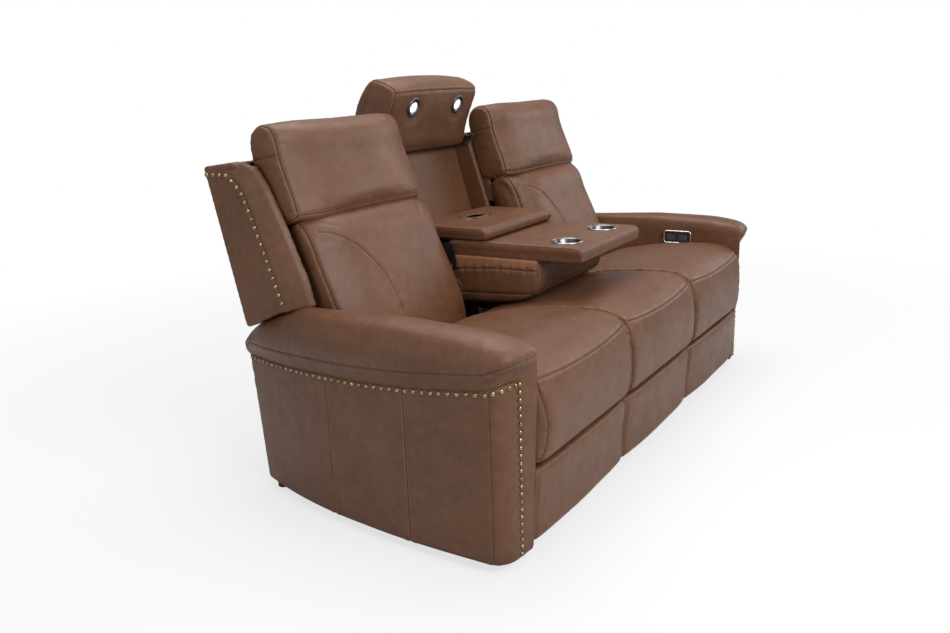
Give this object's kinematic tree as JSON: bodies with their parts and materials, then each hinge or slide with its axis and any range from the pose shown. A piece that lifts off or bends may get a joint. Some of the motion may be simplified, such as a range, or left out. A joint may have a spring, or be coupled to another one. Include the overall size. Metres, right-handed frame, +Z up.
{
  "type": "reclining sofa",
  "caption": "Leather reclining sofa with padded arms, raising footrests and a centre back that drops forward into a console table with cup holders.",
  "frame": {"origin": "on the floor, at the middle of the underside of the centre base glide", "axes": "+Z up; -Y is the front, towards which the seats face; +X is to the right as seen by a person in front who looks at the sofa; names that start with right_ lie at +X"},
  "size_m": [2.1078, 1.074, 1.2434],
  "materials": {
    "leather": "satin brown leather",
    "brass": "aged",
    "black_plastic": "satin",
    "key_plastic": "satin",
    "black_steel": "semi-gloss",
    "zinc_steel": "zinc plated",
    "bright_steel": "polished",
    "gunmetal": "satin",
    "timber": "raw"
  },
  "bodies": {
    "frame": {"base_rails": "black_steel", "power_inlet": "black_plastic", "centre_seat_frame": "timber", "centre_seat_cushion": "leather", "centre_front_panel": "leather", "centre_back_shell": "leather", "recess_panel": "leather", "headrest_hinge": "zinc_steel", "console_hinge": "black_steel", "left_arm_panel": "leather", "left_arm_pad": "leather", "left_arm_nails": "brass", "left_switch_panel": "black_plastic", "left_recliner_base": "black_steel", "left_seat_frame": "timber", "left_seat_cushion": "leather", "left_actuator": "black_plastic", "right_arm_panel": "leather", "right_arm_pad": "leather", "right_arm_nails": "brass", "right_switch_panel": "black_plastic", "right_recliner_base": "black_steel", "right_seat_frame": "timber", "right_seat_cushion": "leather", "right_actuator": "black_plastic"},
    "left_lift_arms": {"left_footrest_lower_links": "zinc_steel"},
    "left_lift_bars": {"left_footrest_upper_links": "zinc_steel"},
    "left_footrest": {"left_footrest_panel": "leather"},
    "left_back": {"left_back_frame": "black_steel", "left_back_shell": "leather", "left_wing_nails": "brass", "left_back_cushion": "leather"},
    "left_head": {"left_headrest": "leather"},
    "left_carriage": {"left_motor_carriage": "zinc_steel"},
    "left_recline_switch": {"left_recline_key": "key_plastic"},
    "left_headrest_switch": {"left_headrest_key": "key_plastic"},
    "right_lift_arms": {"right_footrest_lower_links": "zinc_steel"},
    "right_lift_bars": {"right_footrest_upper_links": "zinc_steel"},
    "right_footrest": {"right_footrest_panel": "leather"},
    "right_back": {"right_back_frame": "black_steel", "right_back_shell": "leather", "right_wing_nails": "brass", "right_back_cushion": "leather"},
    "right_head": {"right_headrest": "leather"},
    "right_carriage": {"right_motor_carriage": "zinc_steel"},
    "right_recline_switch": {"right_recline_key": "key_plastic"},
    "right_headrest_switch": {"right_headrest_key": "key_plastic"},
    "console": {"console_cushion": "leather", "console_table": "leather", "left_cup_holder": "bright_steel", "right_cup_holder": "bright_steel", "console_bracket": "black_steel"},
    "flap": {"console_flap": "leather", "switch_tray": "black_plastic"},
    "centre_head": {"centre_headrest": "leather", "headrest_lugs": "black_steel", "left_reading_light": "gunmetal", "right_reading_light": "gunmetal"},
    "left_light_button": {"left_light_switch": "bright_steel"},
    "right_light_button": {"right_light_switch": "bright_steel"}
  },
  "joints": [
    {"name": "left_footrest_lift", "type": "hinge", "parent": "frame", "child": "left_lift_arms", "pos_m": [-0.604, -0.3, 0.215], "axis": [-1, 0, 0], "range_deg": [0, 140]},
    {"name": "left_footrest_knee", "type": "hinge", "parent": "left_lift_arms", "child": "left_lift_bars", "pos_m": [-0.604, -0.166, 0.081], "axis": [1, 0, 0], "range_deg": [0, 120]},
    {"name": "left_footrest_turn", "type": "hinge", "parent": "left_lift_bars", "child": "left_footrest", "pos_m": [-0.604, -0.408, 0.125], "axis": [-1, 0, 0], "range_deg": [0, 70]},
    {"name": "left_recline", "type": "hinge", "parent": "frame", "child": "left_back", "pos_m": [-0.604, 0.295, 0.25], "axis": [-1, 0, 0], "range_deg": [0, 25.2]},
    {"name": "left_headrest_tilt", "type": "hinge", "parent": "left_back", "child": "left_head", "pos_m": [-0.604, 0.286, 0.88], "axis": [1, 0, 0], "range_deg": [0, 35]},
    {"name": "left_motor_travel", "type": "slide", "parent": "frame", "child": "left_carriage", "axis": [0, -1, 0], "range_m": [0, 0.121]},
    {"name": "left_recline_rocker", "type": "hinge", "parent": "frame", "child": "left_recline_switch", "pos_m": [-0.9021, -0.24, 0.54], "axis": [0, 0, 1], "range_deg": [-5, 5], "stiffness_Nm_per_rad": 0.05},
    {"name": "left_headrest_rocker", "type": "hinge", "parent": "frame", "child": "left_headrest_switch", "pos_m": [-0.9021, -0.19, 0.54], "axis": [0, 0, 1], "range_deg": [-5, 5], "stiffness_Nm_per_rad": 0.05},
    {"name": "right_footrest_lift", "type": "hinge", "parent": "frame", "child": "right_lift_arms", "pos_m": [0.604, -0.3, 0.215], "axis": [-1, 0, 0], "range_deg": [0, 140]},
    {"name": "right_footrest_knee", "type": "hinge", "parent": "right_lift_arms", "child": "right_lift_bars", "pos_m": [0.604, -0.166, 0.081], "axis": [1, 0, 0], "range_deg": [0, 120]},
    {"name": "right_footrest_turn", "type": "hinge", "parent": "right_lift_bars", "child": "right_footrest", "pos_m": [0.604, -0.408, 0.125], "axis": [-1, 0, 0], "range_deg": [0, 70]},
    {"name": "right_recline", "type": "hinge", "parent": "frame", "child": "right_back", "pos_m": [0.604, 0.295, 0.25], "axis": [-1, 0, 0], "range_deg": [0, 25.2]},
    {"name": "right_headrest_tilt", "type": "hinge", "parent": "right_back", "child": "right_head", "pos_m": [0.604, 0.286, 0.88], "axis": [1, 0, 0], "range_deg": [0, 35]},
    {"name": "right_motor_travel", "type": "slide", "parent": "frame", "child": "right_carriage", "axis": [0, -1, 0], "range_m": [0, 0.121]},
    {"name": "right_recline_rocker", "type": "hinge", "parent": "frame", "child": "right_recline_switch", "pos_m": [0.9021, -0.24, 0.54], "axis": [0, 0, 1], "range_deg": [-5, 5], "stiffness_Nm_per_rad": 0.05},
    {"name": "right_headrest_rocker", "type": "hinge", "parent": "frame", "child": "right_headrest_switch", "pos_m": [0.9021, -0.19, 0.54], "axis": [0, 0, 1], "range_deg": [-5, 5], "stiffness_Nm_per_rad": 0.05},
    {"name": "console_fold", "type": "hinge", "parent": "frame", "child": "console", "pos_m": [0, 0.158, 0.549], "axis": [-1, 0, 0], "range_deg": [0, 103]},
    {"name": "flap_fold", "type": "hinge", "parent": "frame", "child": "flap", "pos_m": [0, 0.352, 0.692], "axis": [-1, 0, 0], "range_deg": [0, 103.2]},
    {"name": "centre_headrest_flip", "type": "hinge", "parent": "frame", "child": "centre_head", "pos_m": [0, 0.41, 1.01], "axis": [1, 0, 0], "range_deg": [0, 128]},
    {"name": "left_light_press", "type": "slide", "parent": "flap", "child": "left_light_button", "axis": [0, 0, -1], "range_m": [0, 0.002], "stiffness_N_per_m": 300},
    {"name": "right_light_press", "type": "slide", "parent": "flap", "child": "right_light_button", "axis": [0, 0, -1], "range_m": [0, 0.002], "stiffness_N_per_m": 300}
  ],
  "couplings": [
    {"joint": "left_footrest_knee", "follows": "left_footrest_lift", "ratio": 0.85464},
    {"joint": "left_footrest_turn", "follows": "left_footrest_lift", "ratio": 0.49643},
    {"joint": "left_recline", "follows": "left_footrest_lift", "ratio": 0.17857},
    {"joint": "left_motor_travel", "follows": "left_footrest_lift", "m_per_rad": 0.049111},
    {"joint": "right_footrest_knee", "follows": "right_footrest_lift", "ratio": 0.85464},
    {"joint": "right_footrest_turn", "follows": "right_footrest_lift", "ratio": 0.49643},
    {"joint": "right_recline", "follows": "right_footrest_lift", "ratio": 0.17857},
    {"joint": "right_motor_travel", "follows": "right_footrest_lift", "m_per_rad": 0.049111},
    {"joint": "flap_fold", "follows": "console_fold", "ratio": 1}
  ]
}
